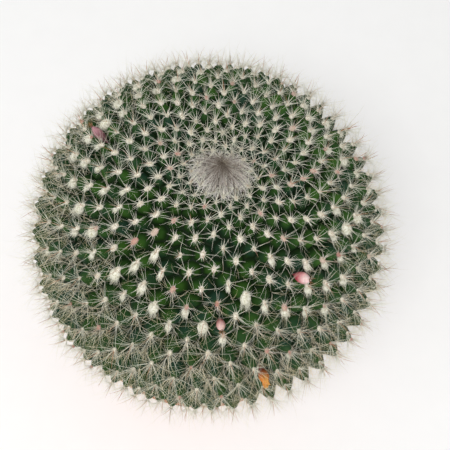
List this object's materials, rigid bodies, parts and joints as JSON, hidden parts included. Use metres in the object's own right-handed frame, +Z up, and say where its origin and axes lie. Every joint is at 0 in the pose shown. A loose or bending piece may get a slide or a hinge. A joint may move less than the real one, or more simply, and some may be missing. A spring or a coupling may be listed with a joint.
{
  "type": "old lady cactus",
  "caption": "Globe cactus of spiny tubercles with woolly axils and young pink fruits, rooted in soil in a plain round clay pot.",
  "frame": {"origin": "middle of the pot's foot, on the surface that it stands on", "axes": "+Z up along the plant's and the pot's axis, -Y towards the viewer"},
  "size_m": [0.1092, 0.1095, 0.1386],
  "materials": {
    "terracotta": "unglazed fired clay, matt",
    "potting_soil": "dry gritty potting soil",
    "cactus_skin": "dark green waxy skin, with cream spines and white wool",
    "fruit_skin": "smooth pink fruit skin",
    "withered_petal": "dry orange petal remains"
  },
  "bodies": {
    "root": {"pot": "terracotta", "soil": "potting_soil", "stem": "cactus_skin", "fruit_right": "fruit_skin", "fruit_front": "fruit_skin", "fruit_left": "fruit_skin", "withered_flower": "withered_petal"}
  },
  "joints": []
}
